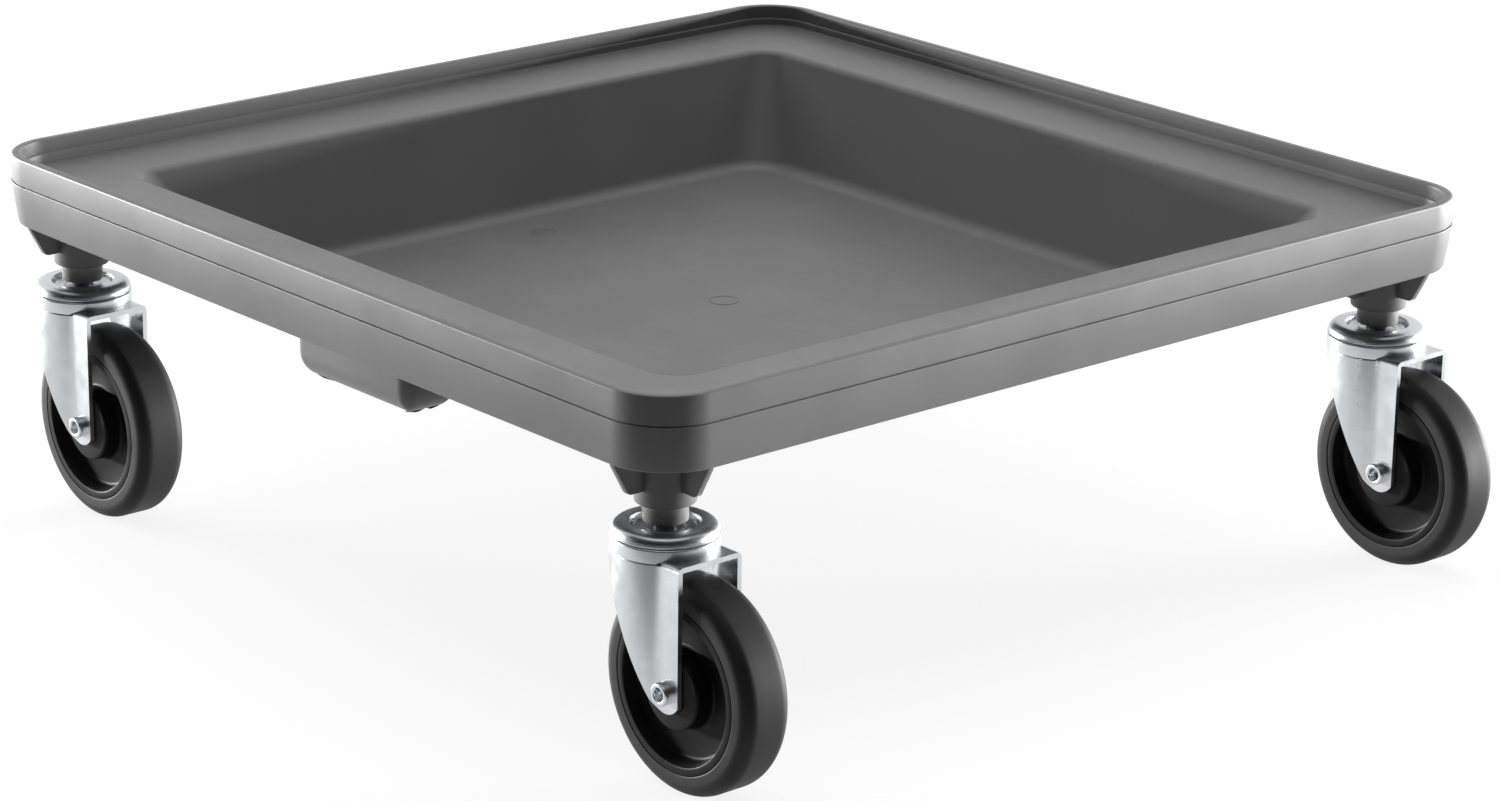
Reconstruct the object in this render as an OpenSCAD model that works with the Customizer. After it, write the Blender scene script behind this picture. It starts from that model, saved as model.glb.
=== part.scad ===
// Square rack dolly: a deep moulded plastic tray on four swivel casters.
// Millimetres. Z is up and the floor is z = 0. The origin lies on the floor
// under the centre of the tray. X runs the way the wheels roll at rest.

/* [Tray] */
// Outer width of the square tray
tray_w = 546; // [500:1:620]
// Height of the rim's top edge above the floor
tray_top = 192.7; // [185:0.1:200]
// Outer radius of the tray's corners
corner_r = 32; // [26:1:40]
// Thickness of the rim's wall
rim_wall = 5.3; // [4:0.1:6]
// Depth from the rim's top edge to the ledge that carries the rack
rim_depth = 11.9; // [8:0.1:16]
// Height of the whole outer side
side_h = 37.1; // [32:0.1:42]
// Depth from the rim's top edge to the parting step around the side
seam_depth = 14.6; // [12:0.1:18]
// How far the lower band of the side stands proud at the parting step
seam_step = 0.45; // [0.2:0.05:1]
// Wall thickness of the skirt, ledge and basin
wall = 3.2; // [2.5:0.1:4]

/* [Basin] */
// Width of the basin's opening in the ledge
basin_w = 440; // [400:1:450]
// Width of the basin's flat floor, measured between the sloping walls
basin_floor_w = 378; // [350:1:390]
// Depth from the rim's top edge to the basin's floor
basin_depth = 70; // [55:0.5:75]
// Corner radius of the basin's opening
basin_r = 16.5; // [12:0.5:24]
// Radius of the rounded edge around the opening
lip_r = 6; // [3:0.5:8]
// Radius between the basin's floor and walls
fillet_r = 12; // [6:1:16]

/* [Housing under one side] */
// Length of the closed housing that hangs behind the skirt
housing_l = 93; // [70:1:110]
// Distance from the tray's centre to the housing's outer face
housing_y = 240; // [234:1:246]
// Depth of the housing from its outer face to its inner face
housing_t = 34; // [33:1:40]
// Height of the housing's lowest point above the floor
housing_bottom = 118.8; // [116:0.2:124]
// Radius of the housing's rounded underside
housing_r = 15; // [10:1:16]

/* [Caster sockets] */
// Distance of each caster's stem from the tray's centre lines
stem_pos = 238.8; // [236:0.1:242]
// Outer diameter of a socket
socket_d = 28.8; // [27:0.1:30]
// Height of a socket's lower end above the floor
socket_bottom = 132.1; // [131:0.1:134]
// Thickness of the four ribs on a socket
rib_t = 4; // [3:0.5:5]
// Outer diameter of the nylon sleeve in a socket
sleeve_d = 21.3; // [20:0.1:22]
// Diameter of a caster's steel stem
stem_d = 11; // [10:0.1:12]

/* [Wheels] */
// Diameter of a wheel
wheel_d = 101.6; // [98:0.1:102]
// Width of a wheel across its rim
wheel_w = 27.6; // [25:0.2:28]
// Distance from the stem's axis back to the wheel's axle
trail = 23; // [20:0.5:25]
// Radius where the tyre meets the wheel core
tyre_inner_r = 40; // [38:0.5:42]
// Rounding of the tyre's two shoulders
tyre_round = 7; // [4:0.5:8]

/* [Forks] */
// Thickness of the pressed steel sheet
sheet = 2.5; // [2:0.1:3]
// Width across the fork's flat sides
fork_w = 37.2; // [37:0.1:38]
// Diameter of the raceways
race_d = 50.6; // [50:0.1:52]
// Distance from the stem's axis to the fork's leading edge
fork_front = 31.5; // [30:0.5:34]
// Radius of the rounded end of each leg around the axle
eye_r = 10; // [9:0.5:11]
// Diameter of the hollow axle rivet
axle_d = 9.6; // [9:0.1:10]
// How far the axle's formed ends stand out of the legs
axle_proud = 4.3; // [3:0.1:5]

/* [Hidden] */
$fn = 96;
eps = 0.01;
fit = 0.05;                 // radial gap of a running or seated fit
ring_steps = 12;            // points on each rounded corner of the tray

half = tray_w / 2;
side_bottom = tray_top - side_h;
seam_z = tray_top - seam_depth;
ledge_z = tray_top - rim_depth;
ledge_under = ledge_z - wall;
floor_z = tray_top - basin_depth;
rim_in = half - rim_wall;
skirt_in = half - seam_step - wall - 2.2;
skirt_taper = 2.2;          // the lower band draws in towards its lower edge
ledge_step = 1.1;           // small step where the rim's wall meets the ledge
ledge_step_h = 3.5;

wheel_r = wheel_d / 2;
axle_z = wheel_r;
leg_in = fork_w / 2 - sheet;
boss_half = leg_in - 0.6;   // the hub's boss nearly fills the fork
rim_half = wheel_w / 2;
boss_r = 18.5;
recess_r = 36;
recess_floor_r = 34.6;
web_half = 6;
bush_r = axle_d / 2 + 1.7;

gap_z = 117.3;              // plane between the fixed cap and the turning fork
cap_bottom = gap_z + 0.3;
cap_top = 123;
sleeve_bottom = cap_top + 0.2;
sleeve_top = 170;
crown_z = gap_z - 0.3;      // top of the fork's raceway
crown_plate_z = 112.3;      // top of the fork's flat front
crown_under = 109.5;
back_corner = [-17, 111];   // where the leg's sloping back edge starts
upper_ball_r = 2.38;
upper_pitch_r = 19.5;
upper_balls_n = 22;
lower_ball_r = 2;
lower_pitch_r = 11;
lower_ball_z = crown_under - 0.3;
lower_balls_n = 14;
race_top = 107.9;
race_bottom = 105;
rivet_bottom = 103.6;
grip_z = 160;               // height of the snap ring in its groove
socket_cavity_top = ledge_under - 1.6;

tray_grey = [0.50, 0.50, 0.50];
nylon_white = [0.72, 0.72, 0.70];
zinc = [0.76, 0.77, 0.78];
steel = [0.60, 0.61, 0.62];
core_black = [0.07, 0.07, 0.07];
tyre_black = [0.20, 0.20, 0.20];

// Each caster: name, side of the tray along X and Y, and how it is turned.
CASTERS = [
    ["front_left", -1, -1, 0],
    ["front_right", 1, -1, 0],
    ["rear_left", -1, 1, 180],
    ["rear_right", 1, 1, 0],
];
PIECES = [
    "sleeve", "stem", "snap_ring", "cap", "upper_balls", "fork",
    "lower_balls", "lower_race", "axle", "bush", "wheel_core", "tyre",
];

// ---- rounded squares with a sloping or stepped side ----

// One closed ring of points: a square of half width h with corner radius r.
function ring(z, h, r) = [
    for (q = [0:3], i = [0:ring_steps])
        let (a = 90 * q + 90 * i / ring_steps, s = [[1, 1], [-1, 1], [-1, -1], [1, -1]][q])
        [s[0] * (h - r) + r * cos(a), s[1] * (h - r) + r * sin(a), z]
];

// A solid through rings given bottom to top as [z, half width, corner radius].
module ringed(levels) {
    n = 4 * (ring_steps + 1);
    m = len(levels);
    points = [for (l = levels) each ring(l[0], l[1], l[2])];
    sides = [
        for (k = [0:m - 2], i = [0:n - 1])
            let (a = k * n + i, b = k * n + (i + 1) % n)
            each [[a, a + n, b], [b, a + n, b + n]]
    ];
    bottom = [[for (i = [0:n - 1]) i]];
    top = [[for (i = [0:n - 1]) m * n - 1 - i]];
    polyhedron(points = points, faces = concat(bottom, sides, top), convexity = 6);
}

// ---- basin ----

wall_run = (basin_w - basin_floor_w) / 2;
wall_rise = ledge_z - floor_z;
wall_tilt = atan(wall_run / wall_rise);

// Half width of the basin at the end of its lip and floor roundings.
lip_cut = lip_r * tan((90 - wall_tilt) / 2);
floor_cut = fillet_r * tan((90 - wall_tilt) / 2);

// The basin's profile from its floor to the ledge, moved out by off.
function basin_levels(off) = concat(
    [
        for (i = [0:4])
            let (a = (90 - wall_tilt) * i / 4, r = fillet_r + off)
            [floor_z + fillet_r - r * cos(a), basin_floor_w / 2 - floor_cut + r * sin(a),
             basin_r - floor_cut + r * sin(a) + 6]
    ],
    [
        for (i = [3:-1:0])
            let (a = (90 - wall_tilt) * i / 3, r = lip_r - off)
            [ledge_z - lip_r + r * cos(a), basin_w / 2 + lip_cut - r * sin(a),
             basin_r + lip_cut - r * sin(a)]
    ]
);

module basin_space() {
    levels = basin_levels(0);
    last = levels[len(levels) - 1];
    ringed(concat(levels, [[tray_top + 1, last[1], last[2]]]));
}

module basin_shell() {
    levels = basin_levels(wall);
    ringed([for (l = levels) if (l[0] < ledge_z - 1) l]);
}

// ---- outer side and rim ----

module side_block() {
    edge = 1;
    ringed([
        [side_bottom, half - skirt_taper - edge, corner_r - edge],
        [side_bottom + edge, half - skirt_taper, corner_r],
        [seam_z, half, corner_r],
        [seam_z + eps, half - seam_step, corner_r - seam_step],
        [tray_top - edge, half - seam_step - 0.1, corner_r - seam_step],
        [tray_top, half - seam_step - 0.1 - edge, corner_r - seam_step - edge],
    ]);
}

module rim_space() {
    edge = 0.8;
    r = corner_r - rim_wall;
    ringed([
        [ledge_z, rim_in - ledge_step, r - ledge_step],
        [ledge_z + ledge_step_h, rim_in - ledge_step, r - ledge_step],
        [ledge_z + ledge_step_h + ledge_step, rim_in, r],
        [tray_top - edge, rim_in, r],
        [tray_top + eps, rim_in + edge, r + edge],
    ]);
}

module underside_space() {
    r = corner_r - (half - skirt_in);
    ringed([
        [side_bottom - 1, skirt_in - skirt_taper, r],
        [ledge_under, skirt_in, r],
    ]);
}

// ---- housing under one side ----

// A bar along X with its two lower edges rounded, less a wall of thickness off.
module housing_bar(off) {
    r = housing_r - off;
    low = housing_bottom + off;
    high = ledge_under + eps;
    front = -housing_y + off;
    back = -housing_y + housing_t - off;
    long = housing_l - 2 * off;
    translate([-long / 2, 0, 0]) rotate([90, 0, 90]) linear_extrude(long) {
        translate([front, low + r]) square([back - front, high - low - r]);
        translate([front + r, low]) square([back - front - 2 * r, r + eps]);
        for (y = [front + r, back - r]) translate([y, low + r]) circle(r);
    }
}

// The same bar seen along Y, to round its two ends.
module housing_ends(off) {
    r = housing_r - off;
    low = housing_bottom + off;
    high = ledge_under + eps;
    side = housing_l / 2 - off;
    translate([0, -housing_y + housing_t, 0]) rotate([90, 0, 0]) linear_extrude(housing_t) {
        translate([-side, low + r]) square([2 * side, high - low - r]);
        translate([-side + r, low]) square([2 * (side - r), r + eps]);
        for (s = [-1, 1]) translate([s * (side - r), low + r]) circle(r);
    }
}

module housing() {
    difference() {
        intersection() { housing_bar(0); housing_ends(0); }
        intersection() { housing_bar(wall); housing_ends(wall); }
    }
}

// ---- caster sockets ----

// The point where a line from p touches a circle at c, on the side given.
function touch(p, c, r, side) =
    let (d = c - p, a = atan2(d[1], d[0]), b = asin(r / norm(d)), l = sqrt(d * d - r * r))
    p + l * [cos(a + side * b), sin(a + side * b)];

rib_reach = half - skirt_taper - stem_pos - 0.6;
rib_tip_r = 3.3;
rib_tip = [20.8, 139.6];
rib_corner = [rib_reach, side_bottom - 0.6];

module rib() {
    t = touch(rib_corner, rib_tip, rib_tip_r, 1);
    rotate([90, 0, 0]) translate([0, 0, -rib_t / 2]) linear_extrude(rib_t) {
        polygon([
            [0, ledge_under + eps], [rib_reach, ledge_under + eps], rib_corner, t,
            rib_tip, [rib_tip[0], rib_tip[1] - rib_tip_r], [0, rib_tip[1] - rib_tip_r],
        ]);
        translate(rib_tip) circle(rib_tip_r);
    }
}

module socket() {
    edge = 1.2;
    r = socket_d / 2;
    rotate_extrude() polygon([
        [0, socket_bottom], [r - edge, socket_bottom], [r - edge / 3, socket_bottom + edge / 3],
        [r, socket_bottom + edge], [r, ledge_under + eps], [0, ledge_under + eps],
    ]);
    for (a = [0:90:270]) rotate([0, 0, a]) rib();
}

module socket_bore() {
    translate([0, 0, socket_bottom - 1])
        cylinder(d = sleeve_d + 2 * fit, h = socket_cavity_top - socket_bottom + 1);
}

module tray() {
    color(tray_grey) difference() {
        union() {
            difference() {
                side_block();
                underside_space();
            }
            basin_shell();
            housing();
            for (c = CASTERS) translate([c[1] * stem_pos, c[2] * stem_pos, 0]) socket();
        }
        rim_space();
        basin_space();
        for (c = CASTERS) translate([c[1] * stem_pos, c[2] * stem_pos, 0]) socket_bore();
    }
}

// ---- caster pieces that stay still on the tray ----

module sleeve() {
    groove_r = stem_d / 2 + 1.7;
    color(nylon_white) difference() {
        translate([0, 0, sleeve_bottom]) cylinder(d = sleeve_d, h = sleeve_top - sleeve_bottom);
        translate([0, 0, sleeve_bottom - 1]) cylinder(d = stem_d + 2 * fit, h = sleeve_top);
        translate([0, 0, grip_z - 1.2]) cylinder(r = groove_r, h = 2.4);
    }
}

module stem() {
    r = stem_d / 2;
    color(steel) rotate_extrude() polygon([
        [0, rivet_bottom], [7, rivet_bottom], [7.6, rivet_bottom + 0.6],
        [7.6, race_bottom - fit], [r, race_bottom - fit],
        [r, grip_z - 0.9], [r - 1, grip_z - 0.9], [r - 1, grip_z + 0.9], [r, grip_z + 0.9],
        [r, sleeve_top - 3.5], [r - 1.5, sleeve_top - 2], [0, sleeve_top - 2],
    ]);
}

module snap_ring() {
    r = stem_d / 2 - 1 + fit;
    color(steel) translate([0, 0, grip_z - 0.8]) rotate([0, 0, 20])
        rotate_extrude(angle = 320) translate([r, 0]) square([2, 1.6]);
}

module cap() {
    r = race_d / 2;
    bore = stem_d / 2 + fit;
    color(zinc) rotate_extrude() polygon([
        [bore, 118.4], [16.2, 118.4], [17, 120.3], [19.5, 120.9], [22, 120.3],
        [23.6, 118.9], [23.8, cap_bottom], [r, cap_bottom], [r, cap_bottom + 0.9],
        [r - 0.5, cap_bottom + 2.3], [r - 1.7, cap_bottom + 3.8], [r - 3.4, cap_top - 0.5],
        [r - 5.4, cap_top], [17.4, cap_top], [15.6, cap_top - 0.6], [14.7, cap_top - 1.8],
        [14.7, 120], [bore, 120],
    ]);
}

module lower_race() {
    bore = stem_d / 2 + fit;
    color(zinc) difference() {
        translate([0, 0, race_bottom]) rotate_extrude() polygon([
            [bore, 0], [13.6, 0], [14.2, 0.6], [14.2, race_top - race_bottom],
            [bore, race_top - race_bottom],
        ]);
        translate([0, 0, lower_ball_z])
            rotate_extrude() translate([lower_pitch_r, 0]) circle(lower_ball_r + 0.35);
    }
}

// ---- caster pieces that swivel ----

module ball_ring(n, pitch_r, ball_r, z) {
    for (i = [0:n - 1])
        rotate([0, 0, 360 * i / n]) translate([pitch_r, 0, z]) sphere(ball_r, $fn = 24);
}

module upper_balls() {
    color(steel) ball_ring(upper_balls_n, upper_pitch_r, upper_ball_r, gap_z);
}

module lower_balls() {
    color(steel) ball_ring(lower_balls_n, lower_pitch_r, lower_ball_r, lower_ball_z);
}

// The fork seen from above: a round back that runs into two flat sides.
module fork_plan(off, front) {
    circle(race_d / 2 - off);
    translate([0, -fork_w / 2 + off]) square([front, fork_w - 2 * off]);
}

// The fork seen from the side: legs that narrow to a round eye at the axle.
module fork_side() {
    eye = [trail, axle_z];
    back = touch(back_corner, eye, eye_r, -1);
    front = [fork_front, axle_z + 22];
    front_touch = touch(front, eye, eye_r, 1);
    translate([0, 60, 0]) rotate([90, 0, 0]) linear_extrude(120) {
        polygon([
            back_corner, back, eye, front_touch, front,
            [fork_front, crown_z], [-race_d / 2 - 1, crown_z], [-race_d / 2 - 1, 111],
        ]);
        translate(eye) circle(eye_r);
    }
}

module fork() {
    color(zinc) difference() {
        union() {
            intersection() {
                difference() {
                    linear_extrude(crown_plate_z) fork_plan(0, fork_front);
                    linear_extrude(crown_under) fork_plan(sheet, fork_front + 5);
                }
                fork_side();
            }
            rotate_extrude() polygon([
                [0, crown_under], [race_d / 2 - 0.6, crown_under + 0.6], [race_d / 2, crown_under + 1.5],
                [race_d / 2, crown_z - 0.4], [race_d / 2 - 0.4, crown_z], [15, crown_z],
                [14, crown_z - 2.4], [0, crown_z - 2.4],
            ]);
        }
        translate([0, 0, crown_under - 1]) cylinder(d = stem_d + 2, h = 20);
        translate([0, 0, gap_z])
            rotate_extrude() translate([upper_pitch_r, 0]) circle(upper_ball_r + fit);
        translate([0, 0, lower_ball_z])
            rotate_extrude() translate([lower_pitch_r, 0]) circle(lower_ball_r + fit);
        translate([trail, 0, axle_z]) rotate([90, 0, 0])
            cylinder(d = axle_d + 2 * fit, h = fork_w + 2, center = true);
    }
}

module axle() {
    r = axle_d / 2;
    out = fork_w / 2 + fit;
    end = out + axle_proud;
    color(zinc) translate([trail, 0, axle_z]) rotate([90, 0, 0]) rotate_extrude() polygon([
        [r - 1.6, -end], [r + 0.2, -end], [r + 0.6, -end + 0.5], [r + 0.6, -out], [r, -out],
        [r, out], [r + 0.6, out], [r + 0.6, end - 0.5], [r + 0.2, end], [r - 1.6, end],
    ]);
}

// ---- pieces that turn on the axle ----

module wheel_place() {
    translate([trail, 0, axle_z]) rotate([90, 0, 0]) children();
}

module bush() {
    color(steel) wheel_place() difference() {
        cylinder(r = bush_r, h = 2 * boss_half + 0.3, center = true);
        cylinder(r = axle_d / 2 + fit, h = 2 * boss_half + 2, center = true);
    }
}

module wheel_core() {
    bore = bush_r + fit / 2;
    color(core_black) wheel_place() rotate_extrude() polygon([
        [bore, -boss_half], [boss_r - 1, -boss_half], [boss_r, -boss_half + 1],
        [boss_r + 0.6, -web_half], [recess_floor_r, -web_half], [recess_r, -rim_half],
        [tyre_inner_r - 0.4, -rim_half], [tyre_inner_r, -rim_half + 0.4],
        [tyre_inner_r, rim_half - 0.4], [tyre_inner_r - 0.4, rim_half],
        [recess_r, rim_half], [recess_floor_r, web_half], [boss_r + 0.6, web_half],
        [boss_r, boss_half - 1], [boss_r - 1, boss_half], [bore, boss_half],
    ]);
}

module tyre() {
    in = tyre_inner_r + 0.02;
    flat = rim_half - tyre_round;
    color(tyre_black) wheel_place() rotate_extrude() difference() {
        union() {
            translate([in, -rim_half]) square([wheel_r - tyre_round - in, wheel_w]);
            translate([in, -flat]) square([wheel_r - in, 2 * flat]);
            for (s = [-1, 1]) translate([wheel_r - tyre_round, s * flat]) circle(tyre_round);
        }
        translate([in - wheel_r, -wheel_w]) square([wheel_r, 2 * wheel_w]);
    }
}

module at_caster(c) {
    translate([c[1] * stem_pos, c[2] * stem_pos, 0]) rotate([0, 0, c[3]]) children();
}

tray();
for (c = CASTERS) {
    at_caster(c) sleeve();
    at_caster(c) stem();
    at_caster(c) snap_ring();
    at_caster(c) cap();
    at_caster(c) upper_balls();
    at_caster(c) fork();
    at_caster(c) lower_balls();
    at_caster(c) lower_race();
    at_caster(c) axle();
    at_caster(c) bush();
    at_caster(c) wheel_core();
    at_caster(c) tyre();
}
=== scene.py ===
"""Dresses a square rack dolly: a deep moulded tray on four swivel casters."""
import math

import bmesh
import bpy
from bpy.props import FloatProperty, FloatVectorProperty, IntProperty, PointerProperty
from mathutils import Matrix, Vector


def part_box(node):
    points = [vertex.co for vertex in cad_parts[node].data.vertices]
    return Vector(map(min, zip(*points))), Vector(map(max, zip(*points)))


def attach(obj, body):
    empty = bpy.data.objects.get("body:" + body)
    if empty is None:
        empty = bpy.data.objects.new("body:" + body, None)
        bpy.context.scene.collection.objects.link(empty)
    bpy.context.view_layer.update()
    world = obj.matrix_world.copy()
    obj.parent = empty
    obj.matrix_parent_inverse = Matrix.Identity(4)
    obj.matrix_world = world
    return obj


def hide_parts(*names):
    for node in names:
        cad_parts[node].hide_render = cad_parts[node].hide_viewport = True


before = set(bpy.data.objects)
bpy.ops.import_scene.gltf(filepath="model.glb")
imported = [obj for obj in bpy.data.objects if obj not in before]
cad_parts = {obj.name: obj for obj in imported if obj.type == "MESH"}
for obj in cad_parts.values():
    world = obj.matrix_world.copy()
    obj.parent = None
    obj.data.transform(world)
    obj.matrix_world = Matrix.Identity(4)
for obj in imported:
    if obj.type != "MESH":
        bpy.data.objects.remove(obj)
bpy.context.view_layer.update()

bl_info = {
    "name": "Rack dolly dressing",
    "version": (1, 0, 0),
    "blender": (4, 5, 0),
    "location": "View3D > Sidebar > Dolly",
    "description": "Builds the finished tray, casters and studio around the dolly's frame",
    "category": "Object",
}

# The camera, solved from the photograph's straight edges: degrees and metres.
CAMERA_AZIMUTH = 48.919
CAMERA_DOWN = 18.359
CAMERA_ROLL = 0.786
CAMERA_XY = (1.71378, -1.47508)
CAMERA_ABOVE_TRAY = 0.62568
FOCAL_PIXELS = 4546.9
PHOTO_PIXELS = 1500
SENSOR_MM = 36

# Each corner's signs along X and Y, and how far its caster is turned at rest.
CORNERS = {
    "front_left": (-1, -1, 0),
    "front_right": (1, -1, 0),
    "rear_left": (-1, 1, 180),
    "rear_right": (1, 1, 0),
}
TRAY_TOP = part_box("tray")[1].z
TRAY_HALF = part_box("tray")[1].x
STEM_POS = sum(c.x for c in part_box("front_right_stem")) / 2
AXLE = sum(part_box("front_right_axle"), Vector()) / 2
TRAIL = AXLE.x - STEM_POS
WHEEL_R = AXLE.z
FORK_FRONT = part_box("front_right_fork")[1].x - STEM_POS
STEM_BORE_R = 0.00556
NEAR_ZERO = 1e-5


# ---- sizes and colours that a user may change ----

def length(name, description, default):
    return FloatProperty(name=name, description=description, default=default, min=0, unit="LENGTH")


def colour(name, description, default):
    return FloatVectorProperty(
        name=name, description=description, default=default, min=0, max=1, subtype="COLOR",
    )


class DollyTraySizes(bpy.types.PropertyGroup):
    corner_r: length("Corner radius", "Radius of the tray's outer corners", 0.032)
    rim_wall: length("Rim wall", "Thickness of the rim's wall", 0.0053)
    rim_depth: length("Rim depth", "From the rim's top edge down to the ledge", 0.0119)
    side_h: length("Side height", "Height of the outer side", 0.0371)
    seam_depth: length("Seam depth", "From the rim's top edge down to the parting line", 0.0146)
    seam_step: length("Seam step", "How far the lower band stands proud", 0.00045)
    taper: length("Taper", "How far the lower band draws in at its lower edge", 0.0022)
    wall: length("Wall", "Wall thickness of the moulding", 0.0032)
    basin_half: length("Basin half width", "Half width of the basin's opening", 0.220)
    floor_half: length("Floor half width", "Half width of the basin's floor", 0.189)
    basin_depth: length("Basin depth", "From the rim's top edge down to the basin's floor", 0.070)
    basin_r: length("Basin corner radius", "Corner radius of the basin's opening", 0.0165)
    lip_r: length("Lip radius", "Rounding of the basin's upper edge", 0.006)
    fillet_r: length("Fillet radius", "Radius between the basin's floor and walls", 0.012)
    corner_steps: IntProperty(
        name="Corner steps", description="Facets on each rounded corner", default=20, min=4,
    )


class DollyCasterSizes(bpy.types.PropertyGroup):
    socket_d: length("Socket diameter", "Outer diameter of a caster socket", 0.0288)
    socket_bottom: length("Socket bottom", "Height of a socket's lower end", 0.1321)
    sleeve_d: length("Sleeve diameter", "Outer diameter of the nylon sleeve", 0.0213)
    race_r: length("Raceway radius", "Radius of the swivel's raceways", 0.0253)
    fork_half: length("Fork half width", "Half width across the fork's flat sides", 0.0186)
    sheet: length("Sheet", "Thickness of the fork's pressed steel", 0.0025)
    eye_r: length("Eye radius", "Radius of a leg's rounded end", 0.010)
    rim_half: length("Wheel half width", "Half width of a wheel's rim", 0.0138)
    boss_r: length("Boss radius", "Radius of the hub's boss", 0.0185)
    recess_r: length("Recess radius", "Radius of the recess in a wheel's face", 0.036)
    tyre_in: length("Tyre inner radius", "Where the tyre meets the core", 0.040)


class DollyFinishes(bpy.types.PropertyGroup):
    plastic: colour("Tray plastic", "Grey of the moulded tray", (0.180, 0.180, 0.181))
    nylon: colour("Nylon", "Translucent sleeve", (0.22, 0.22, 0.215))
    zinc: colour("Zinc", "Bright zinc plate", (0.70, 0.715, 0.73))
    steel: colour("Steel", "Bare bright steel", (0.58, 0.59, 0.60))
    core: colour("Wheel core", "Black moulded core", (0.004, 0.004, 0.004))
    tyre: colour("Tyre", "Dark grey rubber", (0.014, 0.014, 0.014))


def brightness(name, description, default):
    return FloatProperty(name=name, description=description, default=default, min=0, soft_max=10)


class DollyLights(bpy.types.PropertyGroup):
    back: brightness("Back", "Surroundings behind the object", 0.93)
    left_panel: brightness("Left panel", "Power in watts of the low panel at the camera's left", 270.0)
    right_panel: brightness("Right panel", "Power in watts of the low panel at the camera's right", 340.0)
    sides_high: brightness("High sides", "Upper surroundings at both sides", 0.02)
    top: brightness("Top", "Light from above", 1.1)
    front: brightness("Front", "Surroundings on the camera's side", 0.0)


# ---- making meshes ----

def arc(cx, cz, r, start, end, n):
    """Points on an arc in a profile, from start to end in degrees."""
    angles = [math.radians(start + (end - start) * i / n) for i in range(n + 1)]
    return [(cx + r * math.cos(a), cz + r * math.sin(a)) for a in angles]


def piece(name, bm, body, material, nodes=(), sharp=32):
    """Turns a bmesh into a finished piece that rides on a CAD body."""
    bmesh.ops.recalc_face_normals(bm, faces=bm.faces)
    mesh = bpy.data.meshes.new(name)
    bm.to_mesh(mesh)
    bm.free()
    mesh.shade_smooth()
    mesh.set_sharp_from_angle(angle=math.radians(sharp))
    mesh.materials.append(material)
    ob = bpy.data.objects.new(name, mesh)
    bpy.context.scene.collection.objects.link(ob)
    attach(ob, body)
    if nodes:
        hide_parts(*nodes)
    return ob


def connected(seeds):
    """Lists all the vertices that edges join to the seeds, and the seeds."""
    found = set(seeds)
    todo = list(found)
    while todo:
        for edge in todo.pop().link_edges:
            for vert in edge.verts:
                if vert not in found:
                    found.add(vert)
                    todo.append(vert)
    return list(found)


def lathe(bm, profile, steps=96, place=Matrix.Identity(4)):
    """Spins a closed profile of (radius, height) once round Z, then places it."""
    verts = [bm.verts.new((r, 0, z)) for r, z in profile]
    edges = [bm.edges.new(pair) for pair in zip(verts, verts[1:] + verts[:1])]
    bmesh.ops.spin(
        bm, geom=verts + edges, cent=(0, 0, 0), axis=(0, 0, 1), angle=2 * math.pi,
        steps=steps, use_merge=True,
    )
    ring = connected(v for e in edges for v in e.verts if v.is_valid)
    bmesh.ops.transform(bm, matrix=place, verts=ring)


def caster_place(corner):
    sx, sy, turn = CORNERS[corner]
    turned = Matrix.Rotation(math.radians(turn), 4, "Z")
    return Matrix.Translation((sx * STEM_POS, sy * STEM_POS, 0)) @ turned


def wheel_place(corner):
    """Puts a piece that was spun round Z onto a caster's axle, along Y."""
    axle = Matrix.Translation((TRAIL, 0, WHEEL_R)) @ Matrix.Rotation(math.radians(90), 4, "X")
    return caster_place(corner) @ axle


def square_outline(bm, half, r, z, steps):
    """Adds a filled rounded square at height z and returns its face."""
    place = Matrix.Translation((0, 0, z)) @ Matrix.Rotation(math.radians(45), 4, "Z")
    made = bmesh.ops.create_circle(
        bm, cap_ends=True, radius=half * math.sqrt(2), segments=4, matrix=place,
    )
    rounded = bmesh.ops.bevel(
        bm, geom=made["verts"], offset=r, segments=steps, profile=0.5, affect="VERTICES", material=-1,
    )
    return rounded["verts"][0].link_faces[0]


# ---- finishes ----

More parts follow.
